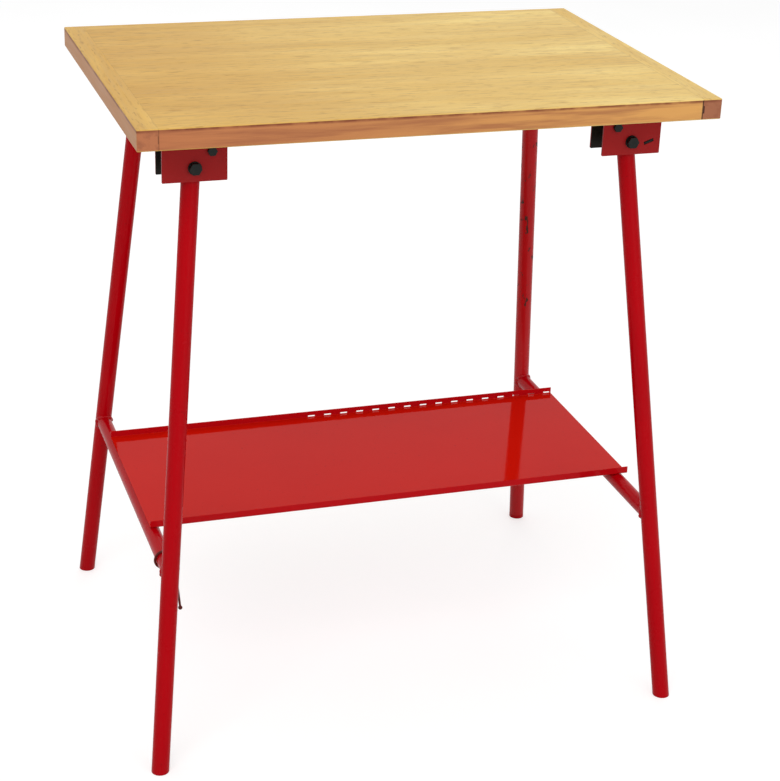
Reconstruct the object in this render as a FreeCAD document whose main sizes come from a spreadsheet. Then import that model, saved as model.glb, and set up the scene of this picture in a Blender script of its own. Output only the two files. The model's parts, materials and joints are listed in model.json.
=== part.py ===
import FreeCAD, Part
import math
import os
import Sketcher

# Folding plumber's work table.
# The wooden top stands on two splayed leg frames that swing up under it,
# and a loose sheet metal shelf lies across the two crossbars.
# Origin: on the floor, under the middle of the top. X runs along the top, Y to the back, Z up.

os.makedirs("parts", exist_ok=True)
doc = FreeCAD.newDocument("WorkTable")
sheet = doc.addObject("Spreadsheet::Sheet", "Dims")

# Driving dimensions, in millimetres and degrees
DIMENSIONS = (
    ("top_length", "700"),
    ("top_depth", "487"),
    ("top_thickness", "25"),
    ("table_height", "810"),
    ("top_edge_radius", "1.5"),
    ("batten_width", "24"),
    ("tongue_length", "9"),
    ("tongue_thickness", "9"),
    ("bracket_length", "76"),
    ("bracket_height", "60"),
    ("bracket_gap", "32.5"),
    ("bracket_sheet", "2.5"),
    ("bracket_bend", "2"),
    ("bracket_corner", "1"),
    ("bracket_inset", "79.4"),
    ("bracket_setback", "89.7"),
    ("pivot_drop", "43.8"),
    ("cheek_slot_length", "13"),
    ("cheek_slot_width", "4"),
    ("cheek_slot_reach", "23"),
    ("cheek_slot_drop", "1"),
    ("cheek_slot_angle", "20"),
    ("leg_diameter", "22"),
    ("leg_wall", "2"),
    ("leg_head", "24"),
    ("leg_inset", "1"),
    ("leg_splay_angle", "5.32"),
    ("foot_offset", "113.2"),
    ("foot_lip", "8"),
    ("foot_stem", "18"),
    ("cap_thickness", "1.6"),
    ("cap_stem", "8"),
    ("crossbar_diameter", "20"),
    ("crossbar_wall", "1.5"),
    ("crossbar_height", "254"),
    ("pivot_diameter", "8"),
    ("pivot_head_flats", "13"),
    ("pivot_head_height", "5.3"),
    ("pivot_nut_height", "6.5"),
    ("pivot_end", "2.5"),
    ("washer_diameter", "16"),
    ("washer_thickness", "1.6"),
    ("sleeve_wall", "2"),
    ("sleeve_side_gap", "0.25"),
    ("running_clearance", "0.05"),
    ("bolt_hole_clearance", "0.2"),
    ("stop_diameter", "14"),
    ("stop_rise", "19.3"),
    ("stop_clearance", "0.3"),
    ("stop_bolt_diameter", "6"),
    ("stop_head_flats", "10"),
    ("stop_head_height", "4"),
    ("stop_nut_height", "5"),
    ("screw_diameter", "4.4"),
    ("screw_length", "18"),
    ("screw_head_diameter", "9"),
    ("screw_head_height", "2.6"),
    ("screw_spacing", "28"),
    ("shelf_left_lap", "4.3"),
    ("shelf_right_lap", "12.5"),
    ("shelf_front", "128.3"),
    ("shelf_back", "144.5"),
    ("shelf_sheet", "1.2"),
    ("shelf_lip", "9.7"),
    ("shelf_bend", "2"),
    ("shelf_seat_gap", "0.3"),
    ("slot_length", "10"),
    ("slot_height", "2.2"),
    ("slot_pitch", "23.8"),
    ("slot_count", "16"),
    ("slot_end_margin", "2.1"),
    ("slot_lift", "0.6"),
    ("hook_wire", "3"),
    ("hook_clearance", "0.1"),
    ("hook_margin", "35.2"),
    ("hook_shank", "72"),
    ("hook_lean_angle", "6"),
    ("hook_opening_angle", "60"),
    ("hook_knob", "5.5"),
    ("cut_overrun", "2"),
)
for row, (alias, value) in enumerate(DIMENSIONS, start=1):
    sheet.set(f"A{row}", alias.replace("_", " "))
    sheet.set(f"B{row}", value)
    sheet.setAlias(f"B{row}", alias)
doc.recompute()

X_AXIS = FreeCAD.Vector(1, 0, 0)
Y_AXIS = FreeCAD.Vector(0, 1, 0)
Z_AXIS = FreeCAD.Vector(0, 0, 1)
QUARTER = 90
HALF_TURN = 180
HEX_SIDES = 6
nodes = []


def dim(alias):
    return float(sheet.get(alias))


def bind(target, expressions):
    """Tie properties of an object to expressions that read the sheet."""
    for prop, expression in expressions.items():
        target.setExpression(prop, expression)
    return target


def part(kind, name, expressions):
    return bind(doc.addObject(f"Part::{kind}", name), expressions)


def box(name, size, corner):
    """A box with its lowest corner at corner; sizes and places are expressions."""
    made = dict(zip(("Length", "Width", "Height"), size))
    made.update(zip(("Placement.Base.x", "Placement.Base.y", "Placement.Base.z"), corner))
    return part("Box", name, made)


def cylinder(name, radius, height, base, turn=None):
    """A cylinder whose base centre is at base, turned from +Z about an axis by an angle."""
    made = part("Cylinder", name, {"Radius": radius, "Height": height})
    if turn:
        made.Placement = FreeCAD.Placement(FreeCAD.Vector(), FreeCAD.Rotation(*turn))
    places = ("Placement.Base.x", "Placement.Base.y", "Placement.Base.z")
    return bind(made, dict(zip(places, base)))


def along_y(name, radius, length, centre):
    """A cylinder along Y that is centred on centre."""
    x, y, z = centre
    return cylinder(name, radius, length, (x, f"{y} + ({length}) / 2", z), (X_AXIS, QUARTER))


def fuse(name, shapes):
    made = doc.addObject("Part::MultiFuse", name)
    made.Shapes = shapes
    made.Refine = True
    return made


def group(name, shapes):
    made = doc.addObject("Part::Compound", name)
    made.Links = shapes
    return made


def cut(name, base, tools):
    made = doc.addObject("Part::Cut", name)
    made.Base = base
    made.Tool = tools[0] if len(tools) == 1 else fuse(f"{name}_tools", tools)
    made.Refine = True
    return made


def fillet(name, base, radius, picks):
    """Round the straight edges that pass every test in picks."""
    doc.recompute()
    made = doc.addObject("Part::Fillet", name)
    made.Base = base
    chosen = [
        number
        for number, edge in enumerate(base.Shape.Edges, start=1)
        if isinstance(edge.Curve, Part.Line) and any(pick(edge) for pick in picks)
    ]
    made.Edges = [(number, radius, radius) for number in chosen]
    return made


def runs_along(edge, axis):
    return edge.tangentAt(edge.FirstParameter).cross(axis).Length < Part.Precision.confusion()


def polygon_prism(name, plane, points, length):
    """A body whose outline, in expressions, is padded to both sides of an origin plane."""
    body = doc.addObject("PartDesign::Body", f"{name}_body")
    sketch = body.newObject("Sketcher::SketchObject", f"{name}_outline")
    origin_plane = [item for item in body.Origin.OriginFeatures if item.Role == plane][0]
    sketch.AttachmentSupport = [(origin_plane, "")]
    sketch.MapMode = "FlatFace"
    count = len(points)
    start = [
        FreeCAD.Vector(math.cos(math.tau * k / count), math.sin(math.tau * k / count), 0)
        for k in range(count)
    ]
    for k in range(count):
        sketch.addGeometry(Part.LineSegment(start[k], start[(k + 1) % count]), False)
    for k in range(count):
        sketch.addConstraint(Sketcher.Constraint("Coincident", k, 2, (k + 1) % count, 1))
    for k, (across, up) in enumerate(points):
        for kind, expression in (("DistanceX", across), ("DistanceY", up)):
            value = start[k].x if kind == "DistanceX" else start[k].y
            place = sketch.addConstraint(Sketcher.Constraint(kind, -1, 1, k, 1, value))
            sketch.setExpression(f"Constraints[{place}]", expression)
    doc.recompute()
    pad = body.newObject("PartDesign::Pad", f"{name}_pad")
    pad.Profile = sketch
    pad.Midplane = True
    pad.setExpression("Length", length)
    body.Tip = pad
    return body


def node(name, shape, placement=None):
    """Name a finished sub-part and put it in its place."""
    shape.Label = name
    if placement:
        shape.Placement = placement
    nodes.append(shape)
    return shape


def at(x, y, z, rotation=None):
    return FreeCAD.Placement(FreeCAD.Vector(x, y, z), rotation or FreeCAD.Rotation())


# Places that several pieces share
UNDERSIDE = "(Dims.table_height - Dims.top_thickness)"
BRACKET_REACH = "(Dims.top_length / 2 - Dims.bracket_inset)"
BRACKET_SPREAD = "(Dims.top_depth / 2 - Dims.bracket_setback)"
underside = dim("table_height") - dim("top_thickness")
pivot_height = underside - dim("pivot_drop")
bracket_reach = dim("top_length") / 2 - dim("bracket_inset")
bracket_spread = dim("top_depth") / 2 - dim("bracket_setback")
splay = math.radians(dim("leg_splay_angle"))
leg_radius = dim("leg_diameter") / 2
SIDES = (("left", -1), ("right", 1))
ENDS = (("front", -1), ("back", 1))
# The stop sits beside the leg when the leg is down, by its own radius and a clearance
stop_side_gap = leg_radius + dim("stop_diameter") / 2 + dim("stop_clearance")
stop_reach = (stop_side_gap + dim("stop_rise") * math.sin(splay)) / math.cos(splay)


def side_turn(sign):
    """Brackets are drawn for the left side; the right side is turned half round."""
    return FreeCAD.Rotation(Z_AXIS, 0 if sign < 0 else HALF_TURN)


# Wooden top: a panel with a tongue at each end, and two end battens grooved over them
PANEL_HALF = "(Dims.top_length / 2 - Dims.batten_width)"
TOP_HALF = "Dims.top_length / 2"
TONGUE_LOW = f"({UNDERSIDE} + (Dims.top_thickness - Dims.tongue_thickness) / 2)"
TONGUE_HIGH = f"({UNDERSIDE} + (Dims.top_thickness + Dims.tongue_thickness) / 2)"
TONGUE_END = f"({PANEL_HALF} + Dims.tongue_length)"
panel_outline = (
    (f"-{PANEL_HALF}", UNDERSIDE),
    (PANEL_HALF, UNDERSIDE),
    (PANEL_HALF, TONGUE_LOW),
    (TONGUE_END, TONGUE_LOW),
    (TONGUE_END, TONGUE_HIGH),
    (PANEL_HALF, TONGUE_HIGH),
    (PANEL_HALF, "Dims.table_height"),
    (f"-{PANEL_HALF}", "Dims.table_height"),
    (f"-{PANEL_HALF}", TONGUE_HIGH),
    (f"-{TONGUE_END}", TONGUE_HIGH),
    (f"-{TONGUE_END}", TONGUE_LOW),
    (f"-{PANEL_HALF}", TONGUE_LOW),
)
panel = polygon_prism("panel", "XZ_Plane", panel_outline, "Dims.top_depth")


def on_long_edge(edge):
    """The long edges of the top, front and back, at its upper and lower face."""
    middle = edge.CenterOfMass
    on_face = min(abs(middle.z - underside), abs(middle.z - dim("table_height")))
    outside = abs(abs(middle.y) - dim("top_depth") / 2)
    return runs_along(edge, X_AXIS) and max(on_face, outside) < Part.Precision.confusion()


panel_round = fillet("panel_round", panel, dim("top_edge_radius"), (on_long_edge,))


def bracket_places():
    for side, x_sign in SIDES:
        for end, y_sign in ENDS:
            yield f"{end}_{side}", x_sign, y_sign


def screw_places():
    """Three screws along the middle of each bracket."""
    for label, x_sign, y_sign in bracket_places():
        for step in (-1, 0, 1):
            yield (
                f"{label}_{step + 2}",
                f"({x_sign}) * {BRACKET_REACH} + ({step}) * Dims.screw_spacing",
                f"({y_sign}) * {BRACKET_SPREAD}",
            )


pilots = [
    cylinder(f"pilot_{label}", "Dims.screw_diameter / 2", "Dims.screw_length", (x, y, UNDERSIDE))
    for label, x, y in screw_places()
]
node("top_panel", cut("top_panel", panel_round, pilots))

for side, sign in SIDES:
    inner = f"({sign}) * {PANEL_HALF}"
    tongue = f"({sign}) * {TONGUE_END}"
    outer = f"({sign}) * {TOP_HALF}"
    outline = (
        (inner, UNDERSIDE),
        (outer, UNDERSIDE),
        (outer, "Dims.table_height"),
        (inner, "Dims.table_height"),
        (inner, TONGUE_HIGH),
        (tongue, TONGUE_HIGH),
        (tongue, TONGUE_LOW),
        (inner, TONGUE_LOW),
    )
    batten = polygon_prism(f"batten_{side}", "XZ_Plane", outline, "Dims.top_depth")

    def on_outer_edge(edge):
        """The batten's outside edges, all round its end face."""
        middle = edge.CenterOfMass
        outside = abs(abs(middle.x) - dim("top_length") / 2)
        return outside < Part.Precision.confusion()

    def on_batten_rim(edge):
        return on_outer_edge(edge) or on_long_edge(edge)

    rounded = fillet(f"end_batten_{side}", batten, dim("top_edge_radius"), (on_batten_rim,))
    node(f"end_batten_{side}", rounded)

# Hinge brackets: a steel channel under the top at each corner, open downwards
CHANNEL_WIDTH = "(Dims.bracket_gap + 2 * Dims.bracket_sheet)"
BOLT_HOLE = "(Dims.pivot_diameter / 2 + Dims.bolt_hole_clearance)"
STOP_HOLE = "(Dims.stop_bolt_diameter / 2 + Dims.bolt_hole_clearance)"
STOP_REACH = (
    "((Dims.leg_diameter / 2 + Dims.stop_diameter / 2 + Dims.stop_clearance"
    " + Dims.stop_rise * sin(Dims.leg_splay_angle)) / cos(Dims.leg_splay_angle))"
)


def bracket(label, slot_side):
    """Drawn with its web on Z = 0 and +X towards the middle of the table.

    A slanted slot goes through the cheek on slot_side of Y, or through none if that is 0.
    """
    outer = box(
        f"{label}_outer",
        ("Dims.bracket_length", CHANNEL_WIDTH, "Dims.bracket_height"),
        ("-Dims.bracket_length / 2", f"-{CHANNEL_WIDTH} / 2", "-Dims.bracket_height"),
    )

    def web_bend(edge):
        return runs_along(edge, X_AXIS) and abs(edge.CenterOfMass.z) < Part.Precision.confusion()

    def cheek_corner(edge):
        low = abs(edge.CenterOfMass.z + dim("bracket_height")) < Part.Precision.confusion()
        return runs_along(edge, Y_AXIS) and low

    bent = fillet(f"{label}_bent", outer, dim("bracket_bend"), (web_bend,))
    rounded = fillet(f"{label}_rounded", bent, dim("bracket_corner"), (cheek_corner,))
    channel = box(
        f"{label}_channel",
        (
            "Dims.bracket_length + 2 * Dims.cut_overrun",
            "Dims.bracket_gap",
            "Dims.bracket_height - Dims.bracket_sheet + Dims.cut_overrun",
        ),
        (
            "-Dims.bracket_length / 2 - Dims.cut_overrun",
            "-Dims.bracket_gap / 2",
            "-Dims.bracket_height - Dims.cut_overrun",
        ),
    )
    through = f"{CHANNEL_WIDTH} + 2 * Dims.cut_overrun"
    pivot_hole = along_y(f"{label}_pivot", BOLT_HOLE, through, ("0", "0", "-Dims.pivot_drop"))
    stop_place = (STOP_REACH, "0", "Dims.stop_rise - Dims.pivot_drop")
    stop_hole = along_y(f"{label}_stop", STOP_HOLE, through, stop_place)
    tools = [channel, pivot_hole, stop_hole]
    for step in (-1, 0, 1):
        tools.append(
            cylinder(
                f"{label}_screw_{step + 2}",
                "Dims.screw_diameter / 2 + Dims.bolt_hole_clearance",
                "Dims.bracket_sheet + 2 * Dims.cut_overrun",
                (
                    f"({step}) * Dims.screw_spacing",
                    "0",
                    "-Dims.bracket_sheet - Dims.cut_overrun",
                ),
            )
        )
    if slot_side:
        tab = part("Box", f"{label}_tab", {
            "Length": "Dims.cheek_slot_length",
            "Width": "Dims.bracket_sheet + 2 * Dims.cut_overrun",
            "Height": "Dims.cheek_slot_width",
        })
        turn = FreeCAD.Rotation(Y_AXIS, dim("cheek_slot_angle"))
        half = FreeCAD.Vector(
            dim("cheek_slot_length") / 2,
            dim("bracket_sheet") / 2 + dim("cut_overrun"),
            dim("cheek_slot_width") / 2,
        )
        middle = FreeCAD.Vector(
            -dim("cheek_slot_reach"),
            slot_side * (dim("bracket_gap") + dim("bracket_sheet")) / 2,
            -dim("pivot_drop") - dim("cheek_slot_drop"),
        )
        tab.Placement = FreeCAD.Placement(middle - turn.multVec(half), turn)
        tools.append(tab)
    return cut(f"hinge_bracket_{label}", rounded, tools)


for label, x_sign, y_sign in bracket_places():
    place = at(
        x_sign * bracket_reach,
        y_sign * bracket_spread,
        underside,
        side_turn(x_sign),
    )
    # A right bracket is turned half round, so its outer cheek is on the other side of Y
    made = bracket(label, -y_sign if x_sign > 0 else 0)
    node(f"hinge_bracket_{label}", made, place)

# Wood screws that hold the brackets: a round head under the web and a shank in the panel
screws = []
for label, x, y in screw_places():
    shank = cylinder(
        f"screw_shank_{label}",
        "Dims.screw_diameter / 2",
        "Dims.screw_length + Dims.bracket_sheet",
        (x, y, f"{UNDERSIDE} - Dims.bracket_sheet"),
    )
    head = cylinder(
        f"screw_head_{label}",
        "Dims.screw_head_diameter / 2",
        "Dims.screw_head_height",
        (x, y, f"{UNDERSIDE} - Dims.bracket_sheet - Dims.screw_head_height"),
    )
    screws.append(fuse(f"screw_{label}", [shank, head]))
node("bracket_screws", group("bracket_screws", screws))

# Bolts through the brackets: one that each leg turns on, and one that each leg rests against
CHEEK = f"({CHANNEL_WIDTH} / 2)"


def hexagon(name, flats, height, base, turn):
    """A hexagonal head or nut, base centre at base, pointing along the turned +Z."""
    made = part("Prism", name, {"Circumradius": f"({flats}) / 2 / cos(30)", "Height": height})
    made.Polygon = HEX_SIDES
    made.Placement = FreeCAD.Placement(FreeCAD.Vector(*base), FreeCAD.Rotation(*turn))
    return made


def cross_bolts(prefix, reach, rise, diameter, flats, head, nut, washer):
    """A bolt, a nut and two washers through every bracket, heads to the outside."""
    bolts, nuts, washers = [], [], []
    for label, x_sign, y_sign in bracket_places():
        x = x_sign * reach
        middle = y_sign * bracket_spread
        cheek = dim("bracket_gap") / 2 + dim("bracket_sheet") + washer
        out = (X_AXIS, -y_sign * QUARTER)
        inwards = (X_AXIS, y_sign * QUARTER)
        span = 2 * cheek + dim(nut) + dim("pivot_end")
        shank = part("Cylinder", f"{prefix}_shank_{label}", {
            "Radius": f"Dims.{diameter} / 2",
        })
        shank.Height = span
        shank.Placement = at(x, middle + y_sign * cheek, rise, FreeCAD.Rotation(*inwards))
        head_base = (x, middle + y_sign * cheek, rise)
        nut_base = (x, middle - y_sign * cheek, rise)
        cap = hexagon(f"{prefix}_cap_{label}", f"Dims.{flats}", f"Dims.{head}", head_base, out)
        bolts.append(fuse(f"{prefix}_bolt_{label}", [shank, cap]))
        blank = hexagon(f"{prefix}_blank_{label}", f"Dims.{flats}", f"Dims.{nut}", nut_base, inwards)
        bore = part("Cylinder", f"{prefix}_bore_{label}", {"Radius": f"Dims.{diameter} / 2"})
        bore.Height = span
        bore.Placement = shank.Placement
        nuts.append(cut(f"{prefix}_nut_{label}", blank, [bore]))
        for number, sign in enumerate((1, -1), start=1):
            if not washer:
                continue
            ring = part("Cylinder", f"washer_{label}_{number}", {
                "Radius": "Dims.washer_diameter / 2",
                "Height": "Dims.washer_thickness",
            })
            start = middle + sign * y_sign * (cheek - washer)
            turn = FreeCAD.Rotation(X_AXIS, -sign * y_sign * QUARTER)
            ring.Placement = at(x, start, rise, turn)
            hole = part("Cylinder", f"washer_hole_{label}_{number}", {
                "Radius": f"Dims.{diameter} / 2",
            })
            hole.Height = span
            hole.Placement = shank.Placement
            washers.append(cut(f"washer_ring_{label}_{number}", ring, [hole]))
    return bolts, nuts, washers


bolts, nuts, washers = cross_bolts(
    "pivot",
    bracket_reach,
    pivot_height,
    "pivot_diameter",
    "pivot_head_flats",
    "pivot_head_height",
    "pivot_nut_height",
    dim("washer_thickness"),
)
node("pivot_bolts", group("pivot_bolts", bolts))
node("pivot_nuts", group("pivot_nuts", nuts))
node("pivot_washers", group("pivot_washers", washers))

stop_x = bracket_reach - stop_reach
stop_z = pivot_height + dim("stop_rise")
bolts, nuts, washers = cross_bolts(
    "stop",
    stop_x,
    stop_z,
    "stop_bolt_diameter",
    "stop_head_flats",
    "stop_head_height",
    "stop_nut_height",
    0,
)
node("stop_bolts", group("stop_bolts", bolts))
node("stop_nuts", group("stop_nuts", nuts))
sleeves = []
for label, x_sign, y_sign in bracket_places():
    centre = (f"{x_sign * stop_x}", f"({y_sign}) * {BRACKET_SPREAD}", f"{stop_z}")
    tube = along_y(f"stop_tube_{label}", "Dims.stop_diameter / 2", "Dims.bracket_gap", centre)
    bore = along_y(f"stop_hollow_{label}", "Dims.stop_bolt_diameter / 2", "Dims.bracket_gap", centre)
    sleeves.append(cut(f"stop_sleeve_{label}", tube, [bore]))
node("stop_sleeves", group("stop_sleeves", sleeves))

# Leg frames. A leg is drawn along Z with the pivot at the origin and its foot below.
# It leans out to its end of the table by the splay, and to the front or back by the kick.
foot_depth = pivot_height / math.cos(splay)
kick = math.atan2(dim("foot_offset"), foot_depth)
leg_length = math.hypot(dim("foot_offset"), foot_depth)
pivot_spread = bracket_spread - dim("leg_inset")
ACROSS = (X_AXIS, QUARTER - math.degrees(kick))


def half_round(y_sign):
    return FreeCAD.Rotation(Z_AXIS, 0 if y_sign > 0 else HALF_TURN)


def leg_place(x_sign, y_sign):
    turn = FreeCAD.Rotation(Y_AXIS, -x_sign * dim("leg_splay_angle"))
    turn = turn.multiply(half_round(y_sign))
    turn = turn.multiply(FreeCAD.Rotation(X_AXIS, math.degrees(kick)))
    return at(x_sign * bracket_reach, y_sign * pivot_spread, pivot_height, turn)


def across_leg(name, radius, length, shift):
    """A cylinder along the pivot's axis, in the frame of the leg."""
    made = part("Cylinder", name, {"Radius": radius, "Height": length})
    direction = FreeCAD.Rotation(*ACROSS).multVec(Z_AXIS)
    start = direction * -(dim("bracket_gap") / 2 - dim("sleeve_side_gap")) - direction * shift
    made.Placement = FreeCAD.Placement(start, FreeCAD.Rotation(*ACROSS))
    return made


def swept(name, path, radius, start):
    """A round bar along a path of joined lines and arcs."""
    ring = part("Circle", f"{name}_ring", {"Radius": radius})
    ring.Placement = start
    bar = doc.addObject("Part::Sweep", name)
    bar.Sections = [ring]
    bar.Spine = (path, [f"Edge{k}" for k in range(1, len(path.Shape.Edges) + 1)])
    bar.Solid = True
    return bar


SLEEVE_RADIUS = "(Dims.pivot_diameter / 2 + Dims.running_clearance + Dims.sleeve_wall)"
LEG_BORE = "(Dims.leg_diameter / 2 - Dims.leg_wall)"
SLEEVE_LENGTH = "(Dims.bracket_gap - 2 * Dims.sleeve_side_gap)"
tube_end = -(leg_length - dim("foot_lip"))


def along_leg(name, radius, low, high, place):
    """A round bar on the leg's axis, between two heights along it."""
    bar = part("Cylinder", name, {"Radius": radius})
    bar.Height = high - low
    bar.Placement = place.multiply(at(0, 0, low))
    return bar


def leg_tube(label, place):
    bar = along_leg(f"{label}_bar", "Dims.leg_diameter / 2", tube_end, dim("leg_head"), place)
    bore = along_leg(f"{label}_bore", LEG_BORE, tube_end, dim("leg_head"), place)
    hole = across_leg(f"{label}_hole", SLEEVE_RADIUS, SLEEVE_LENGTH, dim("leg_inset"))
    hole.Placement = place.multiply(hole.Placement)
    return cut(f"leg_{label}", bar, [bore, hole])


def foot_plug(label, place):
    """A stem inside the tube and a lip below it, cut level with the floor."""
    stem = along_leg(f"{label}_stem", LEG_BORE, tube_end, tube_end + dim("foot_stem"), place)
    low = -leg_length - dim("foot_lip")
    lip = along_leg(f"{label}_lip", "Dims.leg_diameter / 2", low, tube_end, place)
    plug = fuse(f"{label}_plug", [stem, lip])
    below = part("Box", f"{label}_below", {
        "Length": "4 * Dims.leg_diameter",
        "Width": "4 * Dims.leg_diameter",
        "Height": "Dims.leg_diameter",
    })
    foot = place.multVec(FreeCAD.Vector(0, 0, -leg_length))
    reach = 2 * dim("leg_diameter")
    below.Placement = at(foot.x - reach, foot.y - reach, -dim("leg_diameter"))
    return cut(f"foot_{label}", plug, [below])


def top_cap(label):
    plate = cylinder(
        f"{label}_plate", "Dims.leg_diameter / 2", "Dims.cap_thickness", ("0", "0", "Dims.leg_head")
    )
    stem = cylinder(
        f"{label}_cap_stem", LEG_BORE, "Dims.cap_stem", ("0", "0", "Dims.leg_head - Dims.cap_stem")
    )
    return fuse(f"cap_{label}", [plate, stem])


def pivot_sleeve(label):
    tube = across_leg(f"{label}_sleeve_tube", SLEEVE_RADIUS, SLEEVE_LENGTH, dim("leg_inset"))
    bore_radius = "Dims.pivot_diameter / 2 + Dims.running_clearance"
    bore = across_leg(f"{label}_sleeve_bore", bore_radius, SLEEVE_LENGTH, dim("leg_inset"))
    return cut(f"sleeve_{label}", tube, [bore])


crossbar_depth = (pivot_height - dim("crossbar_height")) / math.cos(splay)
crossbar_reach = pivot_spread + crossbar_depth * math.tan(kick)


def crossbar(side):
    """A tube between the two legs, its ends shaped to fit round them."""
    bar = part("Cylinder", f"crossbar_bar_{side}", {"Radius": "Dims.crossbar_diameter / 2"})
    bore = part("Cylinder", f"crossbar_bore_{side}", {
        "Radius": "Dims.crossbar_diameter / 2 - Dims.crossbar_wall",
    })
    for tube in (bar, bore):
        tube.Height = 2 * crossbar_reach
        tube.Placement = at(0, crossbar_reach, -crossbar_depth, FreeCAD.Rotation(X_AXIS, QUARTER))
    tools = [bore]
    for end, y_sign in ENDS:
        saddle = part("Cylinder", f"saddle_{end}_{side}", {"Radius": "Dims.leg_diameter / 2"})
        saddle.Height = leg_length
        lean = half_round(y_sign).multiply(FreeCAD.Rotation(X_AXIS, HALF_TURN + math.degrees(kick)))
        saddle.Placement = FreeCAD.Placement(Y_AXIS * (y_sign * pivot_spread), lean)
        tools.append(saddle)
    return cut(f"crossbar_{side}", bar, tools)


for side, x_sign in SIDES:
    caps, sleeves = [], []
    for end, y_sign in ENDS:
        label = f"{end}_{side}"
        place = leg_place(x_sign, y_sign)
        node(f"leg_{label}", leg_tube(label, place))
        node(f"foot_plug_{label}", foot_plug(label, place))
        cap = top_cap(label)
        cap.Placement = place
        caps.append(cap)
        sleeve = pivot_sleeve(label)
        sleeve.Placement = place
        sleeves.append(sleeve)
    node(f"leg_top_caps_{side}", group(f"leg_top_caps_{side}", caps))
    node(f"pivot_sleeves_{side}", group(f"pivot_sleeves_{side}", sleeves))
    turn = FreeCAD.Rotation(Y_AXIS, -x_sign * dim("leg_splay_angle"))
    place = at(x_sign * bracket_reach, 0, pivot_height, turn)
    node(f"crossbar_{side}", crossbar(side), place)

# Shelf: a sheet that lies loose on the two crossbars, its front and back edges bent up.
# A row of slots runs along the foot of the back lip, from the right end to past the middle.
CROSSBAR_X = (
    f"({BRACKET_REACH} + tan(Dims.leg_splay_angle)"
    f" * ({UNDERSIDE} - Dims.pivot_drop - Dims.crossbar_height))"
)
SEAT = "(Dims.crossbar_height + Dims.crossbar_diameter / 2 + Dims.shelf_seat_gap)"
SHELF_LEFT = f"(-{CROSSBAR_X} - Dims.shelf_left_lap)"
SHELF_RIGHT = f"({CROSSBAR_X} + Dims.shelf_right_lap)"
SHELF_LENGTH = f"({SHELF_RIGHT} - {SHELF_LEFT})"
shelf_seat = dim("crossbar_height") + dim("crossbar_diameter") / 2 + dim("shelf_seat_gap")


def low_along_x(level):
    """A test for the edges along X that lie at a level."""

    def test(edge):
        low = abs(edge.CenterOfMass.z - level) < Part.Precision.confusion()
        return low and runs_along(edge, X_AXIS)

    return test


shelf_block = box(
    "shelf_block",
    (SHELF_LENGTH, "Dims.shelf_front + Dims.shelf_back", "Dims.shelf_lip"),
    (SHELF_LEFT, "-Dims.shelf_front", SEAT),
)
shelf_bent = fillet("shelf_bent", shelf_block, dim("shelf_bend"), (low_along_x(shelf_seat),))
shelf_hollow = box(
    "shelf_hollow",
    (
        f"{SHELF_LENGTH} + 2 * Dims.cut_overrun",
        "Dims.shelf_front + Dims.shelf_back - 2 * Dims.shelf_sheet",
        "Dims.shelf_lip + Dims.cut_overrun",
    ),
    (
        f"{SHELF_LEFT} - Dims.cut_overrun",
        "Dims.shelf_sheet - Dims.shelf_front",
        f"{SEAT} + Dims.shelf_sheet",
    ),
)
inner_bend = dim("shelf_bend") - dim("shelf_sheet")
hollow_level = shelf_seat + dim("shelf_sheet")
hollow_bent = fillet("hollow_bent", shelf_hollow, inner_bend, (low_along_x(hollow_level),))
slots = []
for k in range(int(dim("slot_count"))):
    right = f"{SHELF_RIGHT} - Dims.slot_end_margin - ({k}) * Dims.slot_pitch"
    slots.append(
        box(
            f"slot_{k}",
            ("Dims.slot_length", "Dims.shelf_sheet + 2 * Dims.cut_overrun", "Dims.slot_height"),
            (
                f"{right} - Dims.slot_length",
                "Dims.shelf_back - Dims.shelf_sheet - Dims.cut_overrun",
                f"{SEAT} + Dims.shelf_sheet + Dims.slot_lift",
            ),
        )
    )
node("shelf_tray", cut("shelf_tray", shelf_bent, [hollow_bent] + slots))

# Carrying hook: a bent wire with an eye round the left crossbar and a round knob at its foot.
# It is drawn in the XZ plane round the crossbar's axis; the wire runs clockwise round the eye
# and leaves it as a straight shank.
eye_radius = dim("crossbar_diameter") / 2 + dim("hook_clearance") + dim("hook_wire") / 2
eye_end = math.radians(dim("hook_lean_angle"))
eye_start = math.tau - math.radians(dim("hook_opening_angle"))


def on_eye(angle):
    return FreeCAD.Vector(math.cos(angle), 0, math.sin(angle)) * eye_radius


shank_foot = on_eye(eye_end) + FreeCAD.Vector(math.sin(eye_end), 0, -math.cos(eye_end)) * dim(
    "hook_shank"
)
hook_path = doc.addObject("Part::Feature", "hook_path")
hook_path.Shape = Part.Wire([
    Part.Arc(on_eye(eye_start), on_eye((eye_start + eye_end) / 2), on_eye(eye_end)).toShape(),
    Part.makeLine(on_eye(eye_end), shank_foot),
])
hook_start = FreeCAD.Placement(
    on_eye(eye_start), FreeCAD.Rotation(Y_AXIS, -math.degrees(eye_start))
)
hook_bar = swept("hook_bar", hook_path, "Dims.hook_wire / 2", hook_start)
knob = part("Sphere", "hook_knob", {"Radius": "Dims.hook_knob / 2"})
knob.Placement = FreeCAD.Placement(shank_foot, FreeCAD.Rotation())
crossbar_x = -(bracket_reach + crossbar_depth * math.sin(splay))
hook_place = at(crossbar_x, dim("hook_margin") - crossbar_reach, dim("crossbar_height"))
node("carry_hook", fuse("carry_hook", [hook_bar, knob]), hook_place)

doc.recompute()

# Check every object and every sub-part before writing anything
for item in doc.Objects:
    bad = {"Invalid", "Error"} & set(item.State)
    if bad:
        raise RuntimeError(f"{item.Name} failed: {item.State}")
for item in nodes:
    if item.Shape.isNull() or not item.Shape.isValid():
        raise RuntimeError(f"{item.Label} has no valid shape")
    if not item.Shape.Solids:
        raise RuntimeError(f"{item.Label} has no solid")

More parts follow.
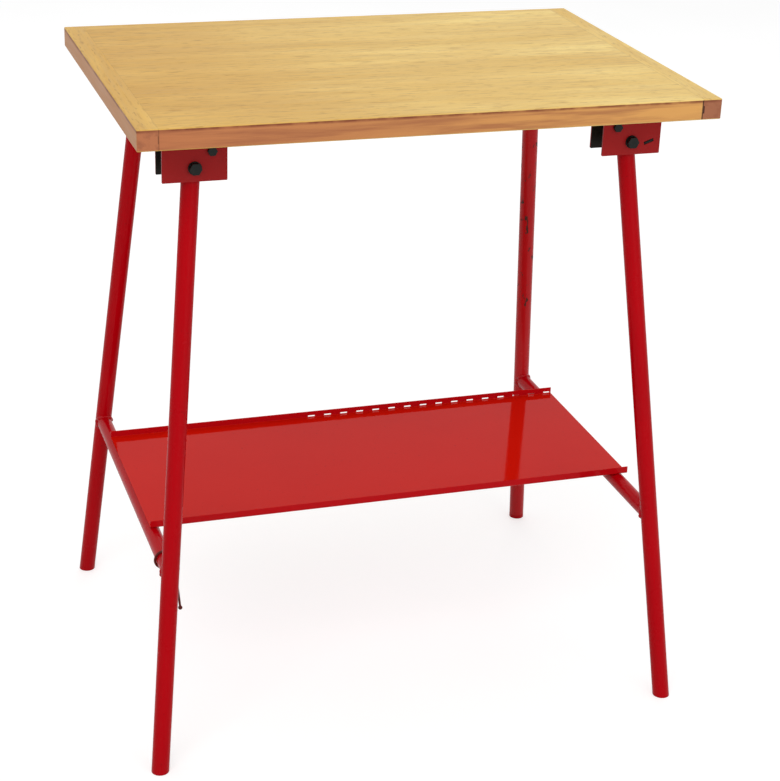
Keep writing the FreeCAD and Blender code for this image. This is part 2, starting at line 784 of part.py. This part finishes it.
for item in nodes:
    item.Shape.exportStep(f"parts/{item.Label}.step")
    size = item.Shape.optimalBoundingBox(False)
    print(
        f"{item.Label}: {len(item.Shape.Solids)} solid(s), {item.Shape.Volume:.0f} mm3,"
        f" X {size.XMin:.1f} to {size.XMax:.1f}, Y {size.YMin:.1f} to {size.YMax:.1f},"
        f" Z {size.ZMin:.1f} to {size.ZMax:.1f}"
    )
print(f"{len(nodes)} nodes")
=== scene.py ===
import json
import math

import bmesh
import bpy
from mathutils import Matrix, Vector


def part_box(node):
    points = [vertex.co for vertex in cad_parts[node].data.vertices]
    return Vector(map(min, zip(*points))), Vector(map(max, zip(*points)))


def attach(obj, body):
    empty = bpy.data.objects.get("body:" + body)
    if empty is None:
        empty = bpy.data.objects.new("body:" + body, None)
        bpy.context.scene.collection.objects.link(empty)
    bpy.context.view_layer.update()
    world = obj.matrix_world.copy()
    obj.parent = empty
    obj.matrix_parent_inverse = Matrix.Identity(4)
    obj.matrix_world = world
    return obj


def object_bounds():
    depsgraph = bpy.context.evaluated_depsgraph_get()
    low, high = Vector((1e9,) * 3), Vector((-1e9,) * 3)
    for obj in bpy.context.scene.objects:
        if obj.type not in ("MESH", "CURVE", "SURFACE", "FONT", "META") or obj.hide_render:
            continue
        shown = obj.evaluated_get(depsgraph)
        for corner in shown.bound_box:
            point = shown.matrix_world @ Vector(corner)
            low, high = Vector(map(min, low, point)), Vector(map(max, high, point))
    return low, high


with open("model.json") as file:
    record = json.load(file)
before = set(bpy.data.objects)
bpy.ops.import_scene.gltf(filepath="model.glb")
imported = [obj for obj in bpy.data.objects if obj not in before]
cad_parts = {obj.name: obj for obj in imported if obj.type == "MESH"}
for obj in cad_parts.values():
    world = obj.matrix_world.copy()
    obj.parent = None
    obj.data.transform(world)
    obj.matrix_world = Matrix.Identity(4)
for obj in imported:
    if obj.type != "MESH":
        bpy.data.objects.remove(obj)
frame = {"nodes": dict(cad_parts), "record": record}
CAD_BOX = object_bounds()

# The camera that matches the photograph
IMAGE_WIDTH = 780
IMAGE_HEIGHT = 781
FOCAL_PX = 1922.13
SENSOR_MM = 36.0
CAMERA_AZIMUTH = math.radians(-18.734)
CAMERA_ELEVATION = math.radians(23.704)
CAMERA_ROLL = math.radians(2.151)
CAMERA_DISTANCE = 2.56907
CAMERA_TARGET = Vector((0.031295, 0.0, 0.361034))
CLIP_NEAR = 0.05
CLIP_FAR = 60

# Places on the table, in metres; a spread is a distance from the middle along Y
TOP_HEIGHT = CAD_BOX[1][2]
PANEL_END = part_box("end_batten_right")[0][0]
BRACKET_SPREAD = 0.1538
CHANNEL_HALF = 0.0163
PIVOT_SPREAD = 0.1528
CROSSBAR_SPREAD = 0.2272
LEG_RADIUS = 0.011
hinges = {joint["name"]: joint for joint in frame["record"]["behaviour"]["joints"]}

# Weld beads: steps round a bead and round its section, and the waves on it, each given as
# how many go round and how high they are as a share of the radius
WELD_STEPS = 96
WELD_SIDES = 10
WELD_RADIUS = 0.0025
WELD_WAVES = ((11, 0.14), (4, 0.16))
BISECTIONS = 30
SEARCH_RADII = 3

# The catch in a right bracket's slot, a dark piece that stands in for the shade seen through
# it: its middle from the pivot, the bracket's middle and the top's underside, then its size,
# its slope and its rounded edges
SLOT_MIDDLE = (0.0230, 0.0175, 0.0448)
SLOT_SIZE = (0.0128, 0.0023, 0.0038)
SLOT_SLOPE = math.radians(20)
SLOT_BEVEL = 0.0004
BEVEL_SEGMENTS = 2

# The studio
FLOOR_HALF = 20
FLOOR_DROP = 0.0005
FLOOR_GLOW = 0.612
FLOOR_GREYS = ((0.48, 0.48, 0.48, 1), (0.52, 0.52, 0.52, 1))
SKY_LEVEL = 0.68
SEEN_SKY_LEVEL = 1.0
LIGHT_TARGET = Vector((0, 0, 0.45))
LIGHTS = (
    # name, place, size, power
    ("key", (-1.6, -2.4, 3.2), 2.4, 52),
    ("fill", (1.0, -2.8, 0.9), 2.0, 20),
    ("rear", (0.8, 2.6, 2.4), 2.0, 16),
)

# Grained noises: how far each is drawn out along the grain, its scale and its detail
FINE_GRAIN = (0.045, 250, 4)
BROAD_GRAIN = (0.10, 22, 4)
PORES = (0.16, 300, 2)
FLECKS = (0.14, 210, 3)
STREAKS = (0.06, 120, 4)
GRAIN_ROUGHNESS = 0.6
GRAIN_WANDER = 0.6

# Even noises: scale, detail and roughness
CLOUDS = (4.5, 2, 0.5)
RAGGED_ARRIS = (45, 3, 0.6)
DRIFT = (7, 3, 0.55)
SPECKS = (210, 2, 0.5)
ORANGE_PEEL = (160, 2, 0.5)
WEAR = (30, 4, 0.6)
FLAKES = (120, 3, 0.65)
STEEL_WEAR = (190, 4, 0.6)
MOTTLE = (3, 3, 0.5)

# Bumps: strength and depth in metres
WOOD_BUMP = (0.22, 0.0006)
PAINT_BUMP = (0.05, 0.0003)
STEEL_BUMP = (0.15, 0.0003)

# Wood: a ramp runs from 0 to 1, so half is added to x, and the arris is shown in centimetres
RAMP_SHIFT = 0.5
ARRIS_DEPTH = 0.006
CM_PER_METRE = 100
JOINT_ON_TOP = 0.10
ALONG_X = 0
ALONG_Y = 1

# Paint: the range of its roughness, and the chips' shape and edge
LEAST_WORN = 0.8
MOST_WORN = 1.25
FLAKE_STRETCH = (1, 1, 0.45)
FLAKE_EDGE = 0.02
BARE_ROUGHNESS = (0.6, 0.6, 0.6, 1)

# The colour sockets of a Mix node
MIX_FIRST = 6
MIX_SECOND = 7
MIX_RESULT = 2


def srgb(red, green, blue, alpha=1.0):
    """A colour given as 0 to 255 screen values, as linear values."""

    def linear(value):
        value /= 255
        return value / 12.92 if value <= 0.04045 else ((value + 0.055) / 1.055) ** 2.4

    return (linear(red), linear(green), linear(blue), alpha)


WHITE = (1, 1, 1, 1)
TOP_COLOURS = (srgb(248, 219, 138), srgb(224, 186, 106))
# How far painted shade darkens and browns the left end of the wood
LEFT_END_SHADE = (0.84, 0.72, 0.54, 1)
END_GRAIN = (srgb(183, 115, 78), srgb(163, 104, 75))
PORE_BROWN = srgb(150, 104, 54)
FLECK_BROWN = srgb(180, 137, 76)
ARRIS_BROWN = srgb(122, 62, 44)
JOINT_BROWN = srgb(52, 26, 26)
GRIME_RED = srgb(96, 8, 12)
CHIP_BROWN = srgb(74, 40, 34)
# The dark painted inside the bracket channels: painted shade
CHANNEL_SHADE = srgb(40, 36, 30)
STEEL_GREYS = (srgb(14, 20, 18), srgb(34, 36, 32))


def make_camera():
    back = Vector(
        (
            math.sin(CAMERA_AZIMUTH) * math.cos(CAMERA_ELEVATION),
            -math.cos(CAMERA_AZIMUTH) * math.cos(CAMERA_ELEVATION),
            math.sin(CAMERA_ELEVATION),
        )
    )
    level_right = Vector((math.cos(CAMERA_AZIMUTH), math.sin(CAMERA_AZIMUTH), 0))
    level_up = back.cross(level_right)
    right = math.cos(CAMERA_ROLL) * level_right + math.sin(CAMERA_ROLL) * level_up
    up = -math.sin(CAMERA_ROLL) * level_right + math.cos(CAMERA_ROLL) * level_up
    data = bpy.data.cameras.new("camera")
    data.sensor_width = SENSOR_MM
    data.lens = FOCAL_PX / max(IMAGE_WIDTH, IMAGE_HEIGHT) * SENSOR_MM
    data.clip_start = CLIP_NEAR
    data.clip_end = CLIP_FAR
    camera = bpy.data.objects.new("camera", data)
    bpy.context.scene.collection.objects.link(camera)
    turn = Matrix((right, up, back)).transposed().to_4x4()
    camera.matrix_world = Matrix.Translation(CAMERA_TARGET + back * CAMERA_DISTANCE) @ turn
    bpy.context.scene.camera = camera


class Shader:
    """A small helper that adds nodes to a new material."""

    def __init__(self, name):
        self.material = bpy.data.materials.new(name)
        self.material.use_nodes = True
        self.tree = self.material.node_tree
        self.tree.nodes.clear()
        self.output = self.tree.nodes.new("ShaderNodeOutputMaterial")
        self.place = self.tree.nodes.new("ShaderNodeTexCoord").outputs["Object"]
        self.normal = self.tree.nodes.new("ShaderNodeNewGeometry").outputs["Normal"]

    def plug(self, socket, value):
        """Links a socket, or sets it to a constant."""
        if isinstance(value, bpy.types.NodeSocket):
            self.tree.links.new(value, socket)
        elif value is not None:
            socket.default_value = value

    def scaled(self, scale, offset=(0, 0, 0)):
        """The object's own coordinates, stretched by a scale along each axis."""
        node = self.tree.nodes.new("ShaderNodeMapping")
        self.plug(node.inputs["Vector"], self.place)
        node.inputs["Scale"].default_value = scale
        node.inputs["Location"].default_value = offset
        return node.outputs["Vector"]

    def noise(self, vector, scale, detail, roughness, distortion=0.0):
        node = self.tree.nodes.new("ShaderNodeTexNoise")
        self.plug(node.inputs["Vector"], vector)
        node.inputs["Scale"].default_value = scale
        node.inputs["Detail"].default_value = detail
        node.inputs["Roughness"].default_value = roughness
        node.inputs["Distortion"].default_value = distortion
        return node.outputs["Fac"]

    def ramp(self, value, stops):
        """Maps a value through (position, grey or colour) stops."""
        node = self.tree.nodes.new("ShaderNodeValToRGB")
        self.plug(node.inputs["Fac"], value)
        elements = node.color_ramp.elements
        for element, (position, colour) in zip(elements, stops, strict=True):
            element.position = position
            grey = not hasattr(colour, "__len__")
            element.color = (colour, colour, colour, 1) if grey else colour
        return node.outputs["Color"]

    def mix(self, factor, first, second, mode="MIX"):
        node = self.tree.nodes.new("ShaderNodeMix")
        node.data_type = "RGBA"
        node.blend_type = mode
        node.clamp_factor = True
        self.plug(node.inputs["Factor"], factor)
        self.plug(node.inputs[MIX_FIRST], first)
        self.plug(node.inputs[MIX_SECOND], second)
        return node.outputs[MIX_RESULT]

    def math(self, kind, first, second=None):
        node = self.tree.nodes.new("ShaderNodeMath")
        node.operation = kind
        self.plug(node.inputs[0], first)
        self.plug(node.inputs[1], second)
        return node.outputs[0]

    def size(self, value):
        return self.math("ABSOLUTE", value)

    def split(self, vector):
        node = self.tree.nodes.new("ShaderNodeSeparateXYZ")
        self.plug(node.inputs[0], vector)
        return node.outputs

    def bump(self, height, strength, distance):
        node = self.tree.nodes.new("ShaderNodeBump")
        node.inputs["Strength"].default_value = strength
        node.inputs["Distance"].default_value = distance
        self.plug(node.inputs["Height"], height)
        return node.outputs["Normal"]

    def finish(self, **sockets):
        """A Principled shader; names are its sockets with _ for spaces."""
        node = self.tree.nodes.new("ShaderNodeBsdfPrincipled")
        for name, value in sockets.items():
            self.plug(node.inputs[name.replace("_", " ")], value)
        self.tree.links.new(node.outputs[0], self.output.inputs["Surface"])
        return self.material


def wood(name, along, edges, seed, fleck, joints=(), outer=None):
    """Lacquered hardwood with its grain along one axis and darker, warmer sides.

    edges are the side's colours at the left and right end and its darkest streak. The joints,
    given as (x, width, strength), are the dark lines where the end battens meet the panel.
    outer is the colour of the sides that look to the left and right.
    """
    light, dark = TOP_COLOURS
    left_edge, right_edge, dark_edge = edges
    s = Shader(name)
    x, _, z = s.split(s.place)
    across = s.math("ADD", x, RAMP_SHIFT)

    def grained(kind, shift, distortion=0.0):
        pull, scale, detail = kind
        stretch = [1.0, 1.0, 1.0]
        stretch[along] = pull
        return s.noise(s.scaled(stretch, shift), scale, detail, GRAIN_ROUGHNESS, distortion)

    # The top: grain, clouds, pores and thin flecks, with painted shade that makes the left end
    # darker and browner than the right
    fine = grained(FINE_GRAIN, (seed, seed, seed))
    broad = grained(BROAD_GRAIN, (seed * 2, seed, seed), GRAIN_WANDER)
    pores = grained(PORES, (0, seed, seed))
    cloud = s.noise(s.scaled((1, 1, 1), (seed, 0, 0)), *CLOUDS)
    colour = s.mix(s.ramp(broad, [(0.34, 0.0), (0.66, 1.0)]), light, dark)
    colour = s.mix(1.0, colour, s.ramp(fine, [(0.34, 0.90), (0.62, 1.03)]), "MULTIPLY")
    colour = s.mix(s.ramp(cloud, [(0.35, 0.0), (0.65, 0.65)]), colour, dark)
    colour = s.mix(s.ramp(pores, [(0.60, 0.0), (0.70, 0.42)]), colour, PORE_BROWN)
    flecks = grained(FLECKS, (seed, 0, seed))
    colour = s.mix(s.ramp(flecks, [(0.55, 0.0), (0.70, fleck)]), colour, FLECK_BROWN)
    # Painted shade: the colour darkens and browns toward the left end
    left_shade = s.ramp(across, [(0.18, LEFT_END_SHADE), (0.62, WHITE)])
    colour = s.mix(1.0, colour, left_shade, "MULTIPLY")

    # The sides: a sweep from left to right, streaks, and a dark ragged line along the arris
    upright = s.size(s.split(s.normal)[2])
    side = s.ramp(s.math("SUBTRACT", 1.0, upright), [(0.55, 0.0), (0.95, 1.0)])
    sweep = s.ramp(across, [(0.15, left_edge), (0.85, right_edge)])
    streaks = s.ramp(grained(STREAKS, (seed, seed * 3, 0)), [(0.46, 0.0), (0.66, 0.60)])
    edge_colour = s.mix(streaks, sweep, dark_edge)
    edge_colour = s.mix(s.ramp(broad, [(0.5, 0.0), (0.8, 0.5)]), edge_colour, dark_edge)
    if outer:
        facing = s.size(s.split(s.normal)[0])
        edge_colour = s.mix(s.ramp(facing, [(0.55, 0.0), (0.95, 0.75)]), edge_colour, outer)
    above = s.math("SUBTRACT", z, TOP_HEIGHT - ARRIS_DEPTH)
    arris = s.ramp(s.math("MULTIPLY", above, CM_PER_METRE), [(0.12, 0.0), (0.36, 0.90)])
    ragged = s.ramp(s.noise(s.place, *RAGGED_ARRIS), [(0.36, 0.40), (0.58, 1.0)])
    edge_colour = s.mix(s.math("MULTIPLY", arris, ragged), edge_colour, ARRIS_BROWN)
    if joints:
        # The panel's tongues look like the battens that hold them
        tongue = s.math("GREATER_THAN", s.size(x), PANEL_END)
        grain = s.ramp(across, [(0.15, END_GRAIN[0]), (0.85, END_GRAIN[1])])
        edge_colour = s.mix(tongue, edge_colour, grain)
    colour = s.mix(side, colour, edge_colour)
    for place, width, strength in joints:
        near = s.size(s.math("SUBTRACT", x, place))
        shown = s.math("ADD", s.math("MULTIPLY", side, strength), JOINT_ON_TOP)
        line = s.math("MULTIPLY", s.math("LESS_THAN", near, width), shown)
        colour = s.mix(line, colour, JOINT_BROWN)
    return s.finish(
        Base_Color=colour,
        Roughness=s.ramp(fine, [(0.3, 0.42), (0.7, 0.58)]),
        Specular_IOR_Level=0.16,
        Normal=s.bump(s.mix(0.5, fine, pores), *WOOD_BUMP),
    )


def paint(name, base, shade, roughness, specular, chips=None, shaded_channel=False, sides=None):
    """Enamel over steel, with a faint orange peel and grime.

    chips are the lowest and highest place where bare steel shows, in metres, and how rare it
    is. With shaded_channel the insides of the bracket channels are painted dark: painted shade
    for the shade that falls inside them. sides is a colour for the upright faces, where it
    differs; the faces that look up then keep base, which can carry a painted reflection.
    """
    s = Shader(name)
    drift = s.noise(s.place, *DRIFT)
    colour = s.mix(s.ramp(drift, [(0.35, 0.0), (0.72, 1.0)]), base, shade)
    # Painted reflection: faces that look up keep base, lighter and oranger for the white surround
    # mirrored in them, while upright faces get sides, the paint itself
    if sides:
        level = s.size(s.split(s.normal)[2])
        colour = s.mix(s.ramp(level, [(0.3, 1.0), (0.8, 0.0)]), colour, sides)
    specks = s.noise(s.place, *SPECKS)
    colour = s.mix(s.ramp(specks, [(0.68, 0.0), (0.78, 0.30)]), colour, GRIME_RED)
    height = s.noise(s.place, *ORANGE_PEEL)
    worn = s.noise(s.place, *WEAR)
    rough = s.ramp(worn, [(0.3, roughness * LEAST_WORN), (0.7, roughness * MOST_WORN)])
    if chips:
        low, high, rarity = chips
        z = s.split(s.place)[2]
        band = s.math("MULTIPLY", s.math("GREATER_THAN", z, low), s.math("LESS_THAN", z, high))
        flakes = s.noise(s.scaled(FLAKE_STRETCH), *FLAKES)
        shown = s.ramp(flakes, [(rarity, 0.0), (rarity + FLAKE_EDGE, 1.0)])
        bare = s.math("MULTIPLY", band, shown)
        colour = s.mix(bare, colour, CHIP_BROWN)
        height = s.math("SUBTRACT", height, bare)
        rough = s.mix(bare, rough, BARE_ROUGHNESS)
    # Painted shade: the insides of the bracket channels are painted dark, where shade falls in
    # them
    if shaded_channel:
        off_middle = s.math("SUBTRACT", s.size(s.split(s.place)[1]), BRACKET_SPREAD)
        inside = s.math("LESS_THAN", s.size(off_middle), CHANNEL_HALF)
        colour = s.mix(inside, colour, CHANNEL_SHADE)
    return s.finish(
        Base_Color=colour,
        Roughness=rough,
        Specular_IOR_Level=specular,
        Normal=s.bump(height, *PAINT_BUMP),
    )


def dark_steel(name):
    s = Shader(name)
    worn = s.noise(s.place, *STEEL_WEAR)
    return s.finish(
        Base_Color=s.mix(s.ramp(worn, [(0.45, 0.0), (0.75, 1.0)]), *STEEL_GREYS),
        Metallic=0.55,
        Roughness=s.ramp(worn, [(0.3, 0.40), (0.7, 0.62)]),
        Normal=s.bump(worn, *STEEL_BUMP),
    )


def seen_directly(tree):
    """1 for camera, glossy and transmission rays, which see the white background."""
    path = tree.nodes.new("ShaderNodeLightPath")
    seen = path.outputs["Is Camera Ray"]
    for ray in ("Is Glossy Ray", "Is Transmission Ray"):
        most = tree.nodes.new("ShaderNodeMath")
        most.operation = "MAXIMUM"
        tree.links.new(seen, most.inputs[0])
        tree.links.new(path.outputs[ray], most.inputs[1])
        seen = most.outputs[0]
    return seen


def pale_floor():
    s = Shader("pale_floor")
    diffuse = s.tree.nodes.new("ShaderNodeBsdfDiffuse")
    s.plug(diffuse.inputs["Color"], s.mix(s.noise(s.place, *MOTTLE), *FLOOR_GREYS))
    glow = s.tree.nodes.new("ShaderNodeEmission")
    glow.inputs["Color"].default_value = WHITE
    s.plug(glow.inputs["Strength"], s.math("MULTIPLY", seen_directly(s.tree), FLOOR_GLOW))
    both = s.tree.nodes.new("ShaderNodeAddShader")
    s.tree.links.new(diffuse.outputs[0], both.inputs[0])
    s.tree.links.new(glow.outputs[0], both.inputs[1])
    s.tree.links.new(both.outputs[0], s.output.inputs["Surface"])
    return s.material


MATERIALS = {
    "wood_panel": wood(
        "wood_panel",
        along=ALONG_X,
        edges=(srgb(186, 115, 76), srgb(220, 163, 92), srgb(152, 90, 63)),
        seed=1.7,
        fleck=0.55,
        joints=((PANEL_END, 0.0016, 0.8), (-PANEL_END, 0.0008, 0.45)),
    ),
    "wood_batten": wood(
        "wood_batten",
        along=ALONG_Y,
        edges=END_GRAIN + (srgb(146, 88, 64),),
        seed=5.3,
        fleck=0.4,
        outer=srgb(198, 148, 104),
    ),
    "dark_steel": dark_steel("dark_steel"),
    "red_bracket": paint(
        "red_bracket",
        base=srgb(161, 33, 33),
        shade=srgb(150, 30, 32),
        roughness=0.30,
        specular=0.08,
        shaded_channel=True,
    ),
    # Painted reflection: base and shade on the shelf's up faces are lighter and oranger than the
    # paint, which is sides
    "red_sheet": paint(
        "red_sheet",
        base=srgb(202, 20, 6),
        shade=srgb(198, 17, 5),
        roughness=0.06,
        specular=0.055,
        sides=srgb(182, 10, 18),
    ),
    "red_tube": paint(
        "red_tube",
        base=srgb(178, 0, 12),
        shade=srgb(170, 0, 12),
        roughness=0.24,
        specular=0.075,
    ),
}
# The back right leg has bare chips in the photograph, and the hook is dark rusty wire
OWN_LOOKS = {
    # Its base is lighter than the other legs' red: painted light that offsets the shade the top
    # casts on this leg; its chips are real wear
    "leg_back_right": paint(
        "red_tube_chipped_and_lit",
        base=srgb(186, 24, 28),
        shade=srgb(176, 22, 26),
        roughness=0.24,
        specular=0.14,
        chips=(0.36, 0.72, 0.62),
    ),
    "carry_hook": paint(
        "rusty_wire",
        base=srgb(104, 36, 30),
        shade=srgb(76, 30, 26),
        roughness=0.40,
        specular=0.12,
    ),
}
WELD = paint(
    "red_weld",
    base=srgb(176, 6, 18),
    shade=srgb(160, 6, 18),
    roughness=0.22,
    specular=0.16,
)


def dress_nodes():
    """Gives every solid the material of its slot, or its own."""
    slots = {entry["node"]: entry["material_slot"] for entry in frame["record"]["subparts"]}
    for name, node in frame["nodes"].items():
        node.data.materials.clear()
        node.data.materials.append(OWN_LOOKS.get(name, MATERIALS[slots[name]]))


def add_mesh(name, bm, material, body):
    """Turns a bmesh into a piece that rides on a body."""
    data = bpy.data.meshes.new(name)
    bm.to_mesh(data)
    bm.free()
    for polygon in data.polygons:
        polygon.use_smooth = True
    piece = bpy.data.objects.new(name, data)
    bpy.context.scene.collection.objects.link(piece)
    data.materials.append(material)
    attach(piece, body)


def weld_ring(centre, leg_axis, inward, bar_radius):
    """Points where a crossbar's surface meets its leg's, once round the crossbar."""
    points = []
    for step in range(WELD_STEPS):
        turn = math.tau * step / WELD_STEPS
        rim = centre + Vector((math.cos(turn), 0, math.sin(turn))) * bar_radius
        near, far = 0.0, SEARCH_RADII * LEG_RADIUS
        for _ in range(BISECTIONS):
            middle = (near + far) / 2
            offset = rim + inward * middle - centre
            gap = (offset - leg_axis * offset.dot(leg_axis)).length
            near, far = (middle, far) if gap < LEG_RADIUS else (near, middle)
        points.append(rim + inward * near)
    return points


def add_weld(name, body, centre, leg_axis, inward, bar_radius):
    """A lumpy bead round the end of a crossbar."""
    ring = weld_ring(centre, leg_axis, inward, bar_radius)
    bm = bmesh.new()
    rows = []
    for step, point in enumerate(ring):
        ahead = (ring[(step + 1) % WELD_STEPS] - ring[step - 1]).normalized()
        out = (point - centre).cross(ahead).cross(ahead).normalized()
        over = ahead.cross(out)
        around = math.tau * step / WELD_STEPS
        lumps = sum(height * math.sin(count * around) for count, height in WELD_WAVES)
        bead = WELD_RADIUS * (1 + lumps)
        row = []
        for side in range(WELD_SIDES):
            turn = math.tau * side / WELD_SIDES
            row.append(bm.verts.new(point + (out * math.cos(turn) + over * math.sin(turn)) * bead))
        rows.append(row)
    for step in range(WELD_STEPS):
        this, following = rows[step], rows[(step + 1) % WELD_STEPS]
        for side in range(WELD_SIDES):
            other = (side + 1) % WELD_SIDES
            bm.faces.new((this[side], following[side], following[other], this[other]))
    bmesh.ops.recalc_face_normals(bm, faces=bm.faces)
    add_mesh(name, bm, WELD, body)


def make_welds():
    """A bead at each of the four places where a crossbar meets a leg."""
    pivot = Vector(hinges["left_fold"]["pos_m"])
    bar = Vector(hinges["hook_hang"]["pos_m"])
    low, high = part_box("crossbar_left")
    bar_radius = (high[2] - low[2]) / 2
    for side, x_sign in (("left", 1), ("right", -1)):
        for end, y_sign in (("front", -1), ("back", 1)):
            top = Vector((x_sign * pivot.x, y_sign * PIVOT_SPREAD, pivot.z))
            centre = Vector((x_sign * bar.x, y_sign * CROSSBAR_SPREAD, bar.z))
            axis = (top - centre).normalized()
            inward = Vector((0, -y_sign, 0))
            add_weld(f"weld_{end}_{side}", f"{side}_legs", centre, axis, inward, bar_radius)


def make_slot_shade_catches():
    """A dark catch that fills the slanted slot in each right bracket's outer cheek, standing in
    for the shade seen through the slot.
    """
    pivot = hinges["right_fold"]["pos_m"]
    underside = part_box("hinge_bracket_front_right")[1][2]
    slope = Matrix.Rotation(-SLOT_SLOPE, 3, "Y")
    for end, y_sign in (("front", -1), ("back", 1)):
        bm = bmesh.new()
        bmesh.ops.create_cube(bm, size=1)
        bmesh.ops.scale(bm, vec=SLOT_SIZE, verts=bm.verts)
        bmesh.ops.bevel(
            bm, geom=bm.edges, offset=SLOT_BEVEL, segments=BEVEL_SEGMENTS, affect="EDGES"
        )
        bmesh.ops.rotate(bm, cent=(0, 0, 0), matrix=slope, verts=bm.verts)
        place = (
            pivot[0] + SLOT_MIDDLE[0],
            y_sign * (BRACKET_SPREAD + SLOT_MIDDLE[1]),
            underside - SLOT_MIDDLE[2],
        )
        bmesh.ops.translate(bm, vec=place, verts=bm.verts)
        add_mesh(f"slot_shade_catch_{end}", bm, MATERIALS["dark_steel"], "top")


def make_stage():
    bm = bmesh.new()
    bmesh.ops.create_grid(bm, x_segments=1, y_segments=1, size=FLOOR_HALF)
    data = bpy.data.meshes.new("floor")
    bm.to_mesh(data)
    bm.free()
    floor = bpy.data.objects.new("floor", data)
    floor.location.z = -FLOOR_DROP
    bpy.context.scene.collection.objects.link(floor)
    data.materials.append(pale_floor())


def area_light(name, place, size, power):
    """A square lamp that shines at the table and isn't mirrored in it."""
    data = bpy.data.lights.new(name, "AREA")
    data.energy = power
    data.size = size
    light = bpy.data.objects.new(name, data)
    bpy.context.scene.collection.objects.link(light)
    light.visible_glossy = False
    light.location = place
    light.rotation_euler = (LIGHT_TARGET - Vector(place)).to_track_quat("-Z", "Y").to_euler()


def make_light():
    """A white surround, dimmer for diffuse rays than for those that see it, and three lamps."""
    world = bpy.data.worlds.new("studio")
    bpy.context.scene.world = world
    world.use_nodes = True
    tree = world.node_tree
    tree.nodes.clear()
    output = tree.nodes.new("ShaderNodeOutputWorld")
    background = tree.nodes.new("ShaderNodeBackground")
    background.inputs["Color"].default_value = WHITE
    level = tree.nodes.new("ShaderNodeMapRange")
    level.inputs["To Min"].default_value = SKY_LEVEL
    level.inputs["To Max"].default_value = SEEN_SKY_LEVEL
    tree.links.new(seen_directly(tree), level.inputs["Value"])
    tree.links.new(level.outputs["Result"], background.inputs["Strength"])
    tree.links.new(background.outputs[0], output.inputs["Surface"])
    for light in LIGHTS:
        area_light(*light)


dress_nodes()
make_camera()
make_welds()
make_slot_shade_catches()
make_stage()
make_light()
bpy.context.scene.view_settings.view_transform = "Standard"
